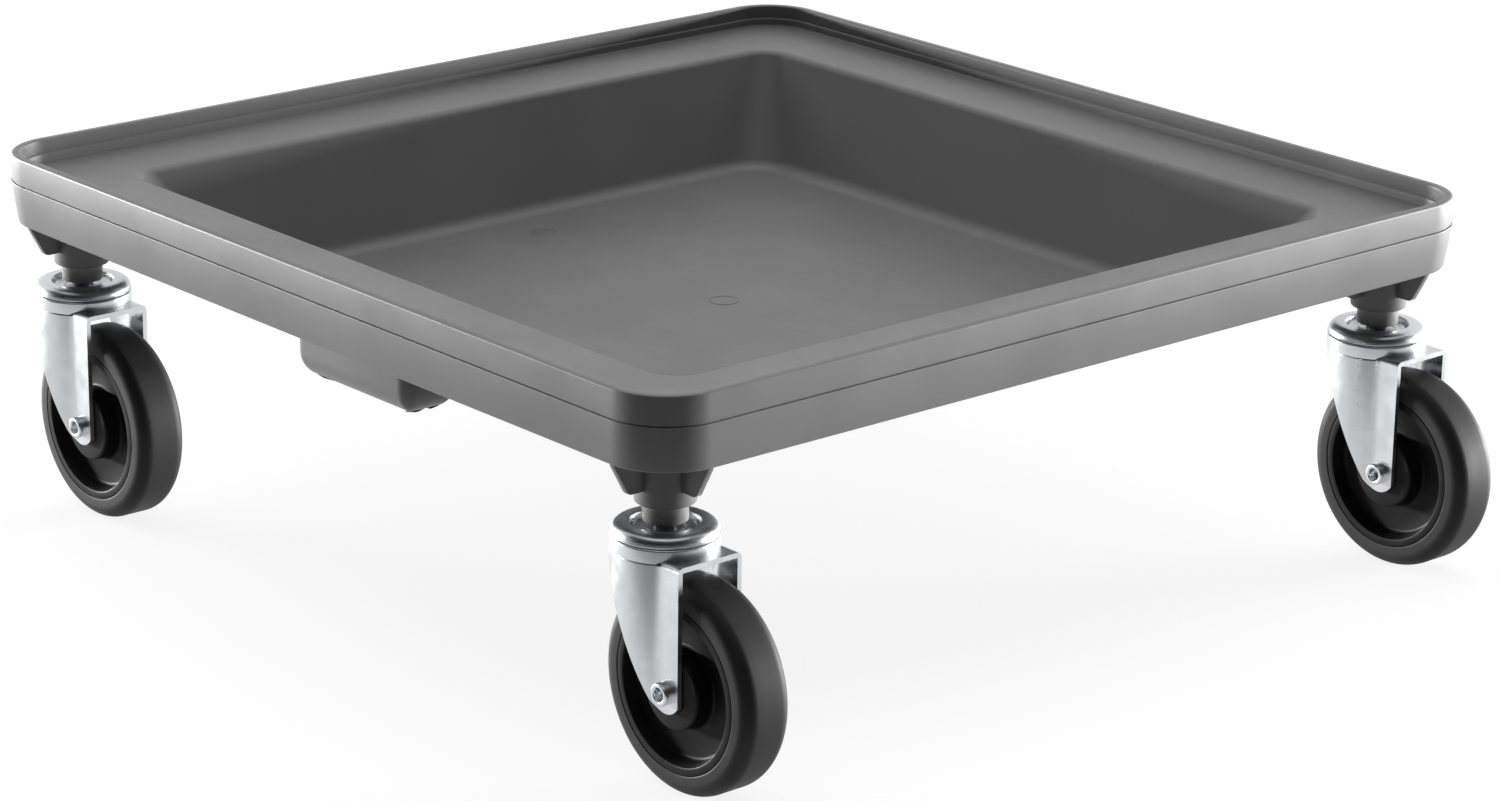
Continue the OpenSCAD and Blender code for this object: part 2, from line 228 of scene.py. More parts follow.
class Finish:
    """A material's node tree with short calls to add nodes to it."""

    def __init__(self, name):
        self.material = bpy.data.materials.new(name)
        self.material.use_nodes = True
        self.tree = self.material.node_tree
        self.shader = self.tree.nodes["Principled BSDF"]
        self.coords = self.tree.nodes.new("ShaderNodeTexCoord")

    def node(self, kind, links=(), **values):
        """Adds a node, sets its properties or inputs and links its inputs."""
        node = self.tree.nodes.new("ShaderNode" + kind)
        for key, value in values.items():
            if hasattr(node, key):
                setattr(node, key, value)
            else:
                node.inputs[key.replace("_", " ")].default_value = value
        for name, source in dict(links).items():
            self.tree.links.new(source, node.inputs[name])
        return node

    def set(self, **values):
        for key, value in values.items():
            self.shader.inputs[key.replace("_", " ")].default_value = value

    def link(self, name, source):
        self.tree.links.new(source, self.shader.inputs[name])

    def noise(self, scale, stretch=(1, 1, 1), detail=4.0, rough=0.55):
        """Noise in the object's own coordinates, scale per metre."""
        mapping = self.node("Mapping", {"Vector": self.coords.outputs["Object"]})
        mapping.inputs["Scale"].default_value = stretch
        return self.node(
            "TexNoise", {"Vector": mapping.outputs["Vector"]}, Scale=scale, Detail=detail, Roughness=rough,
        ).outputs["Fac"]

    def spread(self, source, low, high, out_low, out_high):
        """Maps a value from one range to another, clamped."""
        node = self.node("MapRange", {"Value": source})
        limits = {"From Min": low, "From Max": high, "To Min": out_low, "To Max": out_high}
        for name, value in limits.items():
            node.inputs[name].default_value = value
        return node.outputs["Result"]

    def mix(self, fac, a, b):
        """Mixes two colours, each a plain triple or an output."""
        node = self.node("Mix", data_type="RGBA")
        self.tree.links.new(fac, node.inputs["Factor"])
        for socket, value in ((node.inputs[6], a), (node.inputs[7], b)):
            if isinstance(value, bpy.types.NodeSocket):
                self.tree.links.new(value, socket)
            else:
                socket.default_value = (*value, 1)
        return node.outputs[2]

    def bump(self, height, distance, strength=1.0, normal=None):
        links = {"Height": height}
        if normal:
            links["Normal"] = normal
        return self.node("Bump", links, Distance=distance, Strength=strength).outputs["Normal"]


def shade(rgb, factor):
    return tuple(min(1, c * factor) for c in rgb)


def tray_plastic(name="tray plastic", tint=1.0):
    """Satin moulded polypropylene: fine skin, faint flow clouding, rubbed patches."""
    f = Finish(name)
    grey = shade(bpy.context.scene.dolly_finishes.plastic, tint)
    clouds = f.noise(7, detail=3)
    streaks = f.noise(28, stretch=(1, 1, 0.12), detail=4)
    tone = f.mix(f.spread(clouds, 0.35, 0.65, 0, 1), shade(grey, 0.94), shade(grey, 1.05))
    tone = f.mix(f.spread(streaks, 0.55, 0.75, 0, 0.5), tone, shade(grey, 1.12))
    f.link("Base Color", tone)
    rubbed = f.noise(18, detail=6, rough=0.65)
    f.link("Roughness", f.spread(rubbed, 0.3, 0.7, 0.33, 0.44))
    skin = f.bump(f.noise(1500, detail=2), 0.00003, 0.25)
    f.link("Normal", f.bump(streaks, 0.0002, 0.12, skin))
    f.set(IOR=1.49)
    return f.material


def zinc_plate():
    """Bright zinc on pressed steel: soft drawn streaks and a faint spangle."""
    f = Finish("bright zinc plate")
    tone = tuple(bpy.context.scene.dolly_finishes.zinc)
    drawn = f.noise(90, stretch=(1, 1, 0.15), detail=2)
    spangle = f.noise(120, detail=1, rough=0.4)
    base = f.mix(f.spread(drawn, 0.3, 0.7, 0, 1), shade(tone, 0.88), shade(tone, 1.04))
    f.link("Base Color", base)
    f.link("Roughness", f.spread(spangle, 0.3, 0.7, 0.24, 0.32))
    f.link("Normal", f.bump(spangle, 0.00001, 0.1, f.bump(drawn, 0.0002, 0.05)))
    f.set(Metallic=1.0)
    return f.material


def polished_zinc():
    """The smoother plate of caps, raceways and rivets, with faint turning marks."""
    f = Finish("polished zinc plate")
    tone = tuple(bpy.context.scene.dolly_finishes.zinc)
    marks = f.noise(420, stretch=(1, 1, 6), detail=3)
    f.link("Base Color", f.mix(f.spread(marks, 0.3, 0.7, 0, 1), shade(tone, 0.92), shade(tone, 1.05)))
    f.link("Roughness", f.spread(marks, 0.3, 0.7, 0.27, 0.34))
    f.link("Normal", f.bump(marks, 0.000004, 0.1))
    f.set(Metallic=1.0)
    return f.material


def bare_steel():
    """Ground steel of the stems, balls, rings and bushes."""
    f = Finish("bright steel")
    tone = tuple(bpy.context.scene.dolly_finishes.steel)
    grain = f.noise(700, stretch=(1, 1, 0.3), detail=3)
    f.link("Base Color", f.mix(f.spread(grain, 0.3, 0.7, 0, 1), shade(tone, 0.9), shade(tone, 1.05)))
    f.link("Roughness", f.spread(grain, 0.3, 0.7, 0.22, 0.32))
    f.set(Metallic=1.0)
    return f.material


def sleeve_nylon():
    """Natural nylon, milky and slightly see-through."""
    f = Finish("natural nylon")
    tone = tuple(bpy.context.scene.dolly_finishes.nylon)
    cloud = f.noise(160, detail=3)
    f.link("Base Color", f.mix(f.spread(cloud, 0.3, 0.7, 0, 1), shade(tone, 0.9), shade(tone, 1.1)))
    f.link("Roughness", f.spread(cloud, 0.3, 0.7, 0.30, 0.42))
    f.link("Normal", f.bump(f.noise(500, stretch=(1, 1, 4)), 0.00005, 0.2))
    f.set(Subsurface_Weight=0.35, Subsurface_Radius=(0.6, 0.6, 0.6), Subsurface_Scale=0.004, IOR=1.53)
    return f.material


def core_plastic():
    """Black moulded hub, satin, with fine scuffs."""
    f = Finish("black hub plastic")
    tone = tuple(bpy.context.scene.dolly_finishes.core)
    scuffs = f.noise(140, detail=6, rough=0.7)
    f.link("Base Color", f.mix(f.spread(scuffs, 0.4, 0.8, 0, 1), tone, shade(tone, 2.2)))
    f.link("Roughness", f.spread(scuffs, 0.3, 0.7, 0.42, 0.55))
    f.link("Normal", f.bump(scuffs, 0.00003, 0.15))
    f.set(Specular_IOR_Level=0.14)
    return f.material


def tyre_rubber():
    """Dark grey hard rubber with a dull, slightly dusty skin."""
    f = Finish("hard rubber")
    tone = tuple(bpy.context.scene.dolly_finishes.tyre)
    dust = f.noise(45, detail=6, rough=0.65)
    pores = f.noise(900, detail=2)
    f.link("Base Color", f.mix(f.spread(dust, 0.35, 0.75, 0, 1), shade(tone, 0.85), shade(tone, 1.35)))
    f.link("Roughness", f.spread(dust, 0.3, 0.7, 0.55, 0.68))
    f.link("Normal", f.bump(pores, 0.00005, 0.35))
    f.set(Specular_IOR_Level=0.3)
    return f.material


FINISHES = {
    "tray": tray_plastic,
    "mark": lambda: tray_plastic("pressed tray plastic", 0.86),
    "zinc": zinc_plate,
    "cap": polished_zinc,
    "steel": bare_steel,
    "nylon": sleeve_nylon,
    "wheel_core": core_plastic,
    "tyre": tyre_rubber,
}
made_finishes = {}


def finish_for(name):
    if name not in made_finishes:
        made_finishes[name] = FINISHES[name]()
    return made_finishes[name]


# ---- the tray ----

def tray_levels(t):
    """The tray's closed section as (height, half width, corner radius), floor to floor."""
    tilt = math.degrees(math.atan2(t.basin_half - t.floor_half, t.basin_depth - t.rim_depth))
    cut = math.tan(math.radians((90 - tilt) / 2))
    floor = TRAY_TOP - t.basin_depth
    ledge = TRAY_TOP - t.rim_depth
    bottom = TRAY_TOP - t.side_h
    seam = TRAY_TOP - t.seam_depth
    half = TRAY_HALF
    upper = half - t.seam_step
    skirt_in = upper - t.wall - t.taper
    levels = []

    def add(points, centre):
        """Adds (half width, height) points of a stretch whose corners turn about centre."""
        levels.extend((z, h, max(h - centre, least_r)) for h, z in points)

    least_r = 0.002
    floor_extra_r = 0.006
    fillet_at = t.floor_half - t.fillet_r * cut
    lip_at = t.basin_half + t.lip_r * cut
    low_centre = fillet_at - t.basin_r + t.fillet_r * cut - floor_extra_r
    high_centre = lip_at - t.basin_r - t.lip_r * cut
    # Keeps neighbouring loops out of one plane, where bridging twists them.
    draft = 0.00002
    outer_centre = half - t.corner_r
    in_centre = outer_centre
    foot = half - t.taper
    step = 0.0011
    step_at = ledge + 0.0035
    groove = 0.0007
    edge = 0.0012
    inner_fillet = 0.004
    seam_edge = 0.0004

    # Underside, from the middle outwards and down to the skirt's lower edge.
    add(arc(fillet_at, floor + t.fillet_r, t.fillet_r + t.wall, -90, -tilt, 6), low_centre)
    add(arc(lip_at, ledge - t.lip_r, t.lip_r - t.wall, 180 - tilt, 90, 4), high_centre)
    under = ledge - t.wall - inner_fillet - draft
    add(arc(skirt_in - inner_fillet, under, inner_fillet, 90, 0, 4), in_centre)
    add([(skirt_in - t.taper, bottom + draft)], in_centre - t.taper)
    # Outside, upwards.
    add(arc(foot - edge, bottom + edge, edge, -90, 0, 4), outer_centre - t.taper)
    add([(half, seam - 0.0006)], outer_centre)
    add(arc(half - seam_edge, seam - 0.0006, seam_edge, 20, 90, 3), outer_centre)
    add([(upper - groove, seam - 0.0001), (upper - groove, seam + 0.0002)], outer_centre)
    add([(upper, seam + 0.0006)], outer_centre)
    add(arc(upper - 0.0013, TRAY_TOP - 0.0013, edge, 0, 90, 5), outer_centre)
    rim_in = half - t.rim_wall
    add([(upper - 0.0018, TRAY_TOP - 0.00007), (rim_in + 0.0020, TRAY_TOP - draft)], outer_centre)
    add(arc(rim_in + edge, TRAY_TOP - edge, edge, 90, 180, 5), in_centre)
    # The small step above the ledge, then the ledge and the basin.
    add([(rim_in, step_at + step)], in_centre)
    add(arc(rim_in, step_at, step, 110, 170, 4), in_centre)
    add(arc(rim_in - step - edge, ledge + edge + draft, edge, 0, -90, 4), in_centre)
    add(arc(lip_at, ledge - t.lip_r, t.lip_r, 90, 180 - tilt, 8), high_centre)
    add(arc(fillet_at, floor + t.fillet_r, t.fillet_r, -tilt, -90, 10), low_centre)
    return levels


def tray_shell():
    t = bpy.context.scene.dolly_tray
    bm = bmesh.new()
    faces = [square_outline(bm, h, r, z, t.corner_steps) for z, h, r in tray_levels(t)]
    loops = [list(face.edges) for face in faces]
    bmesh.ops.delete(bm, geom=faces[1:-1], context="FACES_ONLY")
    for lower, upper in zip(loops, loops[1:]):
        bmesh.ops.bridge_loops(bm, edges=lower + upper)
    bmesh.ops.triangulate(bm, faces=[f for f in bm.faces if len(f.verts) > 4])
    return piece("tray_moulding", bm, "tray", finish_for("tray"), ["tray"], sharp=28)


def ledge_middle():
    """Height of the middle of the ledge's wall, where hidden upper ends are sunk."""
    t = bpy.context.scene.dolly_tray
    return TRAY_TOP - t.rim_depth - t.wall / 2


def socket_rib(bm, turn, place):
    """One rib: a bracket that narrows from the skirt's foot to a rounded tip."""
    t = bpy.context.scene.dolly_tray
    thick = 0.004
    inner = 0.004
    tip_x, tip_z, tip_r = 0.0208, 0.1430, 0.0033
    top = ledge_middle()
    reach = TRAY_HALF - t.taper - STEM_POS - 0.0008
    bottom = TRAY_TOP - t.side_h - 0.0006
    outline = [(inner, top), (reach, top), (reach, bottom)]
    outline += arc(tip_x, tip_z, tip_r, -31, -90, 8)
    outline += [(inner, tip_z - tip_r)]
    verts = [bm.verts.new((x, -thick / 2, z)) for x, z in outline]
    face = bm.faces.new(verts)
    grown = bmesh.ops.extrude_face_region(bm, geom=[face])
    side = [g for g in grown["geom"] if isinstance(g, bmesh.types.BMVert)]
    bmesh.ops.translate(bm, verts=side, vec=(0, thick, 0))
    rims = [
        e for e in {e for v in verts + side for e in v.link_edges}
        if all(w in side for w in e.verts) or all(w in verts for w in e.verts)
    ]
    made = bmesh.ops.bevel(
        bm, geom=rims, offset=0.0006, segments=3, profile=0.5, affect="EDGES", material=-1,
    )
    spun = place @ Matrix.Rotation(math.radians(turn), 4, "Z")
    bmesh.ops.transform(bm, matrix=spun, verts=connected(v for f in made["faces"] for v in f.verts))


def socket(corner):
    """A caster socket with its four ribs."""
    c = bpy.context.scene.dolly_casters
    r = c.socket_d / 2
    bore = c.sleeve_d / 2 + 0.00005
    chamfer, edge = 0.0004, 0.0014
    top = ledge_middle()
    sx, sy, _ = CORNERS[corner]
    place = Matrix.Translation((sx * STEM_POS, sy * STEM_POS, 0))
    bm = bmesh.new()
    profile = [(bore, top), (bore, c.socket_bottom + chamfer), (bore + chamfer, c.socket_bottom)]
    profile += arc(r - edge, c.socket_bottom + edge, edge, -90, 0, 5)
    profile += [(r, top)]
    lathe(bm, profile, 64, place)
    for turn in range(0, 360, 90):
        socket_rib(bm, turn, place)
    return piece(f"{corner}_socket", bm, "tray", finish_for("tray"), sharp=28)


def housing():
    """The closed, round-bottomed housing behind the skirt of one side."""
    t = bpy.context.scene.dolly_tray
    half_length, outer_y, inner_y, bottom = 0.0465, -0.240, -0.206, 0.1188
    corner_r, bottom_r = 0.008, 0.0135
    low = Vector((-half_length, outer_y, bottom))
    high = Vector((half_length, inner_y, ledge_middle()))
    bm = bmesh.new()
    bmesh.ops.create_cube(bm, size=1)
    bmesh.ops.scale(bm, vec=high - low, verts=bm.verts)
    bmesh.ops.translate(bm, vec=(low + high) / 2, verts=bm.verts)
    upright = [e for e in bm.edges if abs(e.verts[0].co.z - e.verts[1].co.z) > corner_r]
    bmesh.ops.bevel(
        bm, geom=upright, offset=corner_r, segments=8, profile=0.5, affect="EDGES", material=-1,
    )
    below = [e for e in bm.edges if all(v.co.z < low.z + NEAR_ZERO for v in e.verts)]
    bmesh.ops.bevel(
        bm, geom=below, offset=bottom_r, segments=10, profile=0.5, affect="EDGES", material=-1,
    )
    # Trim it at the middle of the basin's wall, which it runs into.
    rise, run = t.basin_depth - t.rim_depth, t.basin_half - t.floor_half
    out = Vector((0, -rise, -run)).normalized()
    on_wall = Vector((0, -t.floor_half, TRAY_TOP - t.basin_depth)) + out * t.wall / 2
    geom = bm.verts[:] + bm.edges[:] + bm.faces[:]
    cut = bmesh.ops.bisect_plane(bm, geom=geom, plane_co=on_wall, plane_no=out, clear_inner=True)
    rim = [g for g in cut["geom_cut"] if isinstance(g, bmesh.types.BMEdge)]
    bmesh.ops.contextual_create(bm, geom=rim)
    return piece("side_housing", bm, "tray", finish_for("tray"), sharp=40)


def floor_marks():
    """The low gate ring in the middle of the basin's floor and a darker ejector mark."""
    t = bpy.context.scene.dolly_tray
    floor = TRAY_TOP - t.basin_depth
    sunk = -0.0004
    ring_r, ring_half, mark_r = 0.0075, 0.0009, 0.0076
    mark_at = (-0.1575, 0.005, 0)
    bm = bmesh.new()
    ring = [(ring_r - ring_half, sunk)] + arc(ring_r, sunk, 0.0007, 170, 10, 6)
    ring += [(ring_r + ring_half, sunk)]
    lathe(bm, [(r, floor + z) for r, z in ring], 48)
    piece("gate_ring", bm, "tray", finish_for("tray"))
    bm = bmesh.new()
    disc = [(0.0002, sunk), (mark_r, sunk), (mark_r, 0.0001), (0.0070, 0.00025), (0.0002, 0.00012)]
    lathe(bm, [(r, floor + z) for r, z in disc], 48, Matrix.Translation(mark_at))
    piece("ejector_mark", bm, "tray", finish_for("mark"))


# ---- the casters ----

def sleeve(corner):
    c = bpy.context.scene.dolly_casters
    low, high = (v.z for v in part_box(f"{corner}_sleeve"))
    r = c.sleeve_d / 2
    edge = 0.0008
    bm = bmesh.new()
    profile = [(STEM_BORE_R, high), (STEM_BORE_R, low + 0.0003), (0.0059, low)]
    profile += arc(r - edge, low + edge, edge, -90, 0, 4) + [(r, high)]
    lathe(bm, profile, 64, caster_place(corner))
    return piece(
        f"{corner}_nylon_sleeve", bm, "tray", finish_for("nylon"), [f"{corner}_sleeve"],
    )


def cap(corner):
    """The domed cap: a thin lip, a rounded shoulder and a sunken middle."""
    r = bpy.context.scene.dolly_casters.race_r
    low, top = (v.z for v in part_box(f"{corner}_cap"))
    lip_r, shoulder_r = 0.0004, 0.0045
    # The underside with the groove for the balls.
    profile = [(STEM_BORE_R, low + 0.0009), (0.0162, low + 0.0009), (0.0170, low + 0.0027)]
    profile += [(0.0195, low + 0.0032), (0.0220, low + 0.0027), (0.0236, low + 0.0013), (0.0238, low)]
    # The lip and the shoulder.
    profile += [(r - 0.0003, low)] + arc(r - lip_r, low + lip_r, lip_r, -45, 80, 4)
    profile += arc(r - lip_r - shoulder_r, low + 0.0008, shoulder_r, 8, 90, 10)
    # The dip to the sunken middle.
    profile += arc(0.0171, top - 0.0012, 0.0012, 92, 172, 5)
    profile += [(0.0147, top - 0.0030)]
    profile += arc(0.0137, low + 0.0034, 0.0010, 0, -90, 3)
    profile += arc(0.0093, low + 0.0024, 0.0006, 0, 180, 5) + [(STEM_BORE_R, low + 0.0024)]
    bm = bmesh.new()
    lathe(bm, profile, 96, caster_place(corner))
    return piece(
        f"{corner}_domed_cap", bm, "tray", finish_for("cap"), [f"{corner}_cap"], sharp=40,
    )


def fork_outline(c):
    """Half of the fork's plan, from its front edge round to the middle of its back."""
    blend = 0.008
    x = math.sqrt((c.race_r + blend) ** 2 - (c.fork_half + blend) ** 2)
    turn = math.degrees(math.atan2(c.fork_half + blend, x))
    flat = [(FORK_FRONT - i * (FORK_FRONT - x) / 4, c.fork_half) for i in range(4)]
    inner = arc(x, c.fork_half + blend, blend, -90, turn - 180, 8)
    outer = arc(0, 0, c.race_r, turn, 180, 28)
    return flat + inner + outer[1:]


def fork(corner):
    """The pressed fork: a crown with two legs that narrow to the axle's eyes."""
    c = bpy.context.scene.dolly_casters
    plate, leg_end, bend_r = 0.1123, 0.030, 0.0028
    back_top = Vector((-0.017, 0, 0.111))
    front_angle, eye_cuts = 355, 22
    half_plan = fork_outline(c)
    plan = half_plan + [(x, -y) for x, y in half_plan[-2::-1]]
    bm = bmesh.new()
    verts = [bm.verts.new((x, -y, plate)) for x, y in plan]
    crown = bm.faces.new(verts)
    front = bm.edges.get((verts[0], verts[-1]))
    sides = [e for e in crown.edges if e != front]
    grown = bmesh.ops.extrude_edge_only(bm, edges=sides)
    lower = [g for g in grown["geom"] if isinstance(g, bmesh.types.BMVert)]
    bmesh.ops.translate(bm, verts=lower, vec=(0, 0, leg_end - plate))
    bmesh.ops.bevel(
        bm, geom=sides, offset=bend_r, segments=5, profile=0.5, affect="EDGES", material=-1,
    )
    # Cut the legs along a straight back edge, round the eye and off at the front.
    eye = Vector((TRAIL, 0, WHEEL_R))
    reach = (back_top - eye).length
    base = math.degrees(math.atan2(back_top.z - eye.z, back_top.x - eye.x))
    back = base + math.degrees(math.acos(c.eye_r / reach))
    cuts = [
        (eye, back + i * (front_angle - back) / eye_cuts, c.eye_r) for i in range(eye_cuts + 1)
    ]
    cuts.append((Vector((FORK_FRONT, 0, 0)), 0, 0))
    for at, angle, out in cuts:
        a = math.radians(angle)
        normal = Vector((math.cos(a), 0, math.sin(a)))
        geom = bm.verts[:] + bm.edges[:] + bm.faces[:]
        bmesh.ops.bisect_plane(
            bm, geom=geom, plane_co=at + normal * out, plane_no=normal, clear_outer=True,
        )
    bmesh.ops.recalc_face_normals(bm, faces=bm.faces)
    bmesh.ops.solidify(bm, geom=bm.faces[:], thickness=c.sheet)
    bmesh.ops.transform(bm, matrix=caster_place(corner), verts=bm.verts)
    ob = piece(
        f"{corner}_pressed_fork", bm, f"{corner}_swivel", finish_for("zinc"),
        [f"{corner}_fork"], sharp=35,
    )
    edge = ob.modifiers.new("edge rounding", "BEVEL")
    edge.width = 0.0004
    edge.segments = 2
    edge.limit_method = "ANGLE"
    edge.angle_limit = math.radians(50)
    return ob


def race_drum(corner):
    """The raised raceway on the fork's crown, under the cap."""
    r = bpy.context.scene.dolly_casters.race_r
    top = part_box(f"{corner}_fork")[1].z
    low = top - 0.0070
    inner, foot, edge, groove = 0.0150, 0.0006, 0.0009, 0.0012
    profile = [(inner, low), (r - foot, low), (r, low + foot), (r, top - edge)]
    profile += arc(r - edge, top - edge, edge, 10, 90, 4)
    profile += [(0.0216, top), (0.0210, top - groove), (0.0180, top - groove), (0.0174, top)]
    profile += [(0.0160, top), (inner, top - 0.0010)]
    bm = bmesh.new()
    lathe(bm, profile, 96, caster_place(corner))
    return piece(f"{corner}_raceway", bm, f"{corner}_swivel", finish_for("cap"), sharp=40)


def axle(corner):
    """The hollow rivet, with its formed ends standing out of both legs."""
    low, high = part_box(f"{corner}_axle")
    end = (high.y - low.y) / 2
    out = bpy.context.scene.dolly_casters.fork_half
    shank_r, head_r, bore_r, edge = 0.0048, 0.0054, 0.0032, 0.0008
    half = [(shank_r, 0), (shank_r, out), (head_r, out), (head_r, end - edge)]
    half += arc(head_r - edge, end - edge, edge, 0, 90, 4)
    half += arc(bore_r + edge, end - edge, edge, 90, 180, 4)
    half += [(bore_r, 0.004)]
    profile = half + [(r, -y) for r, y in half[::-1] if y > 0]
    bm = bmesh.new()
    lathe(bm, profile, 48, wheel_place(corner))
    return piece(
        f"{corner}_rivet", bm, f"{corner}_swivel", finish_for("cap"), [f"{corner}_axle"],
    )


def wheel_core(corner):
    """The hub: a proud boss, a deep recess and a flush ring inside the tyre."""
    c = bpy.context.scene.dolly_casters
    low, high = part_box(f"{corner}_wheel_core")
    boss = (high.y - low.y) / 2
    web, edge = 0.006, 0.0012
    half = [(0.00652, boss - 0.0006), (0.0071, boss)]
    half += arc(c.boss_r - edge, boss - edge, edge, 90, 0, 4)
    half += arc(c.boss_r + 0.0022, web + 0.0018, 0.0018, 180, 270, 4)
    half += arc(c.recess_r - 0.0034, web + 0.0020, 0.0020, -90, -8, 4)
    half += arc(c.recess_r + 0.0006, c.rim_half - 0.0006, 0.0006, 170, 90, 3)
    half += arc(c.tyre_in - 0.0005, c.rim_half - 0.0005, 0.0004, 90, 0, 3)
    profile = half + [(r, -y) for r, y in half[::-1]]
    bm = bmesh.new()
    lathe(bm, profile, 128, wheel_place(corner))
    return piece(
        f"{corner}_hub", bm, f"{corner}_wheel", finish_for("wheel_core"),
        [f"{corner}_wheel_core"],
    )


def tyre(corner):
    """The tyre: a flat side wall, round shoulders and a slightly crowned tread."""
    c = bpy.context.scene.dolly_casters
    shoulder = 0.007
    inner = c.tyre_in + 0.00005
    half = [(WHEEL_R, 0), (WHEEL_R - 0.00005, 0.003)]
    half += arc(WHEEL_R - shoulder, c.rim_half - shoulder, shoulder, 2, 88, 14)
    half += [(inner + 0.0010, c.rim_half)]
    half += arc(inner + 0.0005, c.rim_half - 0.0005, 0.0005, 90, 180, 3)
    profile = half[::-1] + [(r, -y) for r, y in half[1:]]
    bm = bmesh.new()
    lathe(bm, profile, 160, wheel_place(corner))
    return piece(
        f"{corner}_rubber_tyre", bm, f"{corner}_wheel", finish_for("tyre"), [f"{corner}_tyre"],
    )


def inner_metal():
    """Gives the CAD stems, balls, races, rings and bushes their steel."""
    for name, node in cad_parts.items():
        if name.endswith(("_stem", "_balls", "_snap_ring", "_bush", "_lower_race")):
            node.data.materials.clear()
            node.data.materials.append(finish_for("steel"))


# ---- the studio ----

def camera():
    """A long lens at the photograph's place, turned by its solved angles."""
    lens = bpy.data.cameras.new("camera")
    lens.sensor_width = SENSOR_MM
    lens.lens = FOCAL_PIXELS / PHOTO_PIXELS * SENSOR_MM
    lens.clip_end = 50
    ob = bpy.data.objects.new("camera", lens)
    bpy.context.scene.collection.objects.link(ob)
    away = math.radians(CAMERA_AZIMUTH)
    down = math.radians(CAMERA_DOWN)
    roll = math.radians(CAMERA_ROLL)
    look = Vector((-math.sin(away) * math.cos(down), math.cos(away) * math.cos(down), -math.sin(down)))
    place = look.to_track_quat("-Z", "Y").to_matrix().to_4x4() @ Matrix.Rotation(roll, 4, "Z")
    ob.matrix_world = Matrix.Translation((*CAMERA_XY, TRAY_TOP + CAMERA_ABOVE_TRAY)) @ place
    bpy.context.scene.camera = ob


# Soft parts of the studio's surroundings. Each fades in over a range of the
# direction's X (camera's right), Y (away from the camera) or Z (up).
LOBES = {
    "back": (None, (0.05, 0.35), None),
    "sides_high": (None, (0.45, 0.0), (0.25, 0.45)),
    "top": (None, None, (0.75, 0.95)),
    "front": (None, (-0.3, -0.7), None),
}


def turned_axes(tree, coordinates):
    """Splits coordinates into X to the photo's right, Y away from its viewer and Z up."""
    coords = tree.nodes.new("ShaderNodeTexCoord")
    turn = tree.nodes.new("ShaderNodeVectorRotate")
    turn.rotation_type = "Z_AXIS"
    turn.inputs["Angle"].default_value = math.radians(-CAMERA_AZIMUTH)
    split = tree.nodes.new("ShaderNodeSeparateXYZ")
    tree.links.new(coords.outputs[coordinates], turn.inputs["Vector"])
    tree.links.new(turn.outputs["Vector"], split.inputs["Vector"])
    return split.outputs


def combine(tree, operation, *values):
    """Adds a math node on numbers or outputs and returns its output."""
    node = tree.nodes.new("ShaderNodeMath")
    node.operation = operation
    for socket, value in zip(node.inputs, values):
        if isinstance(value, bpy.types.NodeSocket):
            tree.links.new(value, socket)
        else:
            socket.default_value = value
    return node.outputs[0]


def soft_fade(tree, source, start, end, full=1.0):
    """Fades from zero at start to full at end."""
    fade = tree.nodes.new("ShaderNodeMapRange")
    fade.interpolation_type = "SMOOTHSTEP"
    for name, value in {"From Min": start, "From Max": end, "To Max": full}.items():
        fade.inputs[name].default_value = value
    tree.links.new(source, fade.inputs["Value"])
    return fade.outputs["Result"]


def studio_world():
    """Surroundings that are white to the camera and made of soft lobes to the object."""
    lights = bpy.context.scene.dolly_lights
    world = bpy.data.worlds.new("studio")
    bpy.context.scene.world = world
    world.use_nodes = True
    tree = world.node_tree
    axes = turned_axes(tree, "Generated")
    total = 0.0
    for name, ranges in LOBES.items():
        part = getattr(lights, name)
        for axis, limits in zip("XYZ", ranges):
            if limits is not None:
                part = combine(tree, "MULTIPLY", soft_fade(tree, axes[axis], *limits), part)
        total = combine(tree, "ADD", part, total)
    path = tree.nodes.new("ShaderNodeLightPath")
    mix = tree.nodes.new("ShaderNodeMix")
    mix.data_type = "FLOAT"
    mix.inputs["B"].default_value = 1.0
    tree.links.new(path.outputs["Is Camera Ray"], mix.inputs["Factor"])
    tree.links.new(total, mix.inputs["A"])
    tree.links.new(mix.outputs["Result"], tree.nodes["Background"].inputs["Strength"])
    tree.nodes["Background"].inputs["Color"].default_value = (1, 1, 1, 1)


PANEL_AWAY = 3.5
PANEL_WIDTH = 1.8
PANEL_HEIGHT = 0.36
PANEL_MIDDLE = 0.185
LEFT_PANEL_TURN = 118
RIGHT_PANEL_TURN = 110


def side_panel(name, side, turn, power):
    """A low panel that stands on the floor beside the object and grazes its sides."""
    turn = math.radians(turn)
    azimuth = math.radians(CAMERA_AZIMUTH)
    to_camera = Vector((math.sin(azimuth), -math.cos(azimuth), 0))
    right = Vector((-to_camera.y, to_camera.x, 0))
    direction = to_camera * math.cos(turn) + right * side * math.sin(turn)
    data = bpy.data.lights.new(name, "AREA")
    data.shape = "RECTANGLE"
    data.size = PANEL_WIDTH
    data.size_y = PANEL_HEIGHT
    data.energy = power
    ob = bpy.data.objects.new(name, data)
    ob.location = direction * PANEL_AWAY + Vector((0, 0, PANEL_MIDDLE))
    ob.rotation_euler = (-direction).to_track_quat("-Z", "Y").to_euler()
    ob.visible_camera = False
    bpy.context.scene.collection.objects.link(ob)


# The floor answers the camera, mirrors and the object's own light each in its way.
FLOOR_R = 8
FLOOR_TO_OBJECT = (0.3, 0.3, 0.3, 1)
FLOOR_TO_CAMERA = (0.8, 0.8, 0.8, 1)
FLOOR_GLOW = 1.17
GLOW_TO_CAMERA = 0.72
GLOW_TO_MIRRORS = 0.68
MIRROR_FADE = (-0.75, -0.42)


